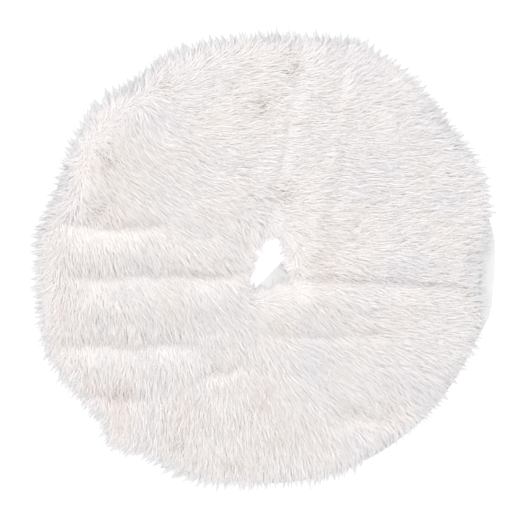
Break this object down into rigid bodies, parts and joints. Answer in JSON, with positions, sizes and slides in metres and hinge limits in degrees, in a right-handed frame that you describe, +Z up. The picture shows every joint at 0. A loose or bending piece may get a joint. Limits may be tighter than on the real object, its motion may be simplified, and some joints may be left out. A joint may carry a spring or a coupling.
{
  "type": "tree skirt",
  "caption": "Round long-pile faux-fur tree skirt with a bound trunk hole, a lapped slit closed by hook-and-loop strips, and a fold-in-half storage crease.",
  "frame": {"origin": "centre of the trunk hole, on the floor under the lining", "axes": "+Z up out of the pile, +Y along the slit from the hole to the rim, X across the slit; the storage fold lies 9 degrees counter-clockwise from X"},
  "size_m": [0.78, 0.78, 0.0257],
  "materials": {
    "long_pile_fur": "matte",
    "lining_cloth": "matte",
    "binding_tape": "satin",
    "hook_tape": "matte",
    "loop_tape": "matte"
  },
  "bodies": {
    "back_half": {"back_left_fur": "long_pile_fur", "back_left_lining": "lining_cloth", "back_left_hem_binding": "binding_tape", "back_left_hole_binding": "binding_tape", "back_right_fur": "long_pile_fur", "back_right_lining": "lining_cloth", "back_right_hem_binding": "binding_tape", "back_right_hole_binding": "binding_tape", "underlap_placket": "lining_cloth", "hook_strip_inner": "hook_tape", "hook_strip_middle": "hook_tape", "hook_strip_outer": "hook_tape"},
    "front_half": {"front_fur": "long_pile_fur", "front_lining": "lining_cloth", "front_hem_binding": "binding_tape", "front_hole_binding": "binding_tape"},
    "closure_flap": {"flap_fur": "long_pile_fur", "flap_facing": "lining_cloth", "loop_strip_inner": "loop_tape", "loop_strip_middle": "loop_tape", "loop_strip_outer": "loop_tape"}
  },
  "joints": [
    {"name": "closure_flap", "type": "hinge", "parent": "back_half", "child": "closure_flap", "pos_m": [0.04815, 0.085, 0.026], "axis": [0, 1, 0], "range_deg": [0, 180]},
    {"name": "storage_fold", "type": "hinge", "parent": "back_half", "child": "front_half", "pos_m": [0, 0, 0.03425], "axis": [-0.9877, -0.1564, 0], "range_deg": [0, 180]}
  ]
}
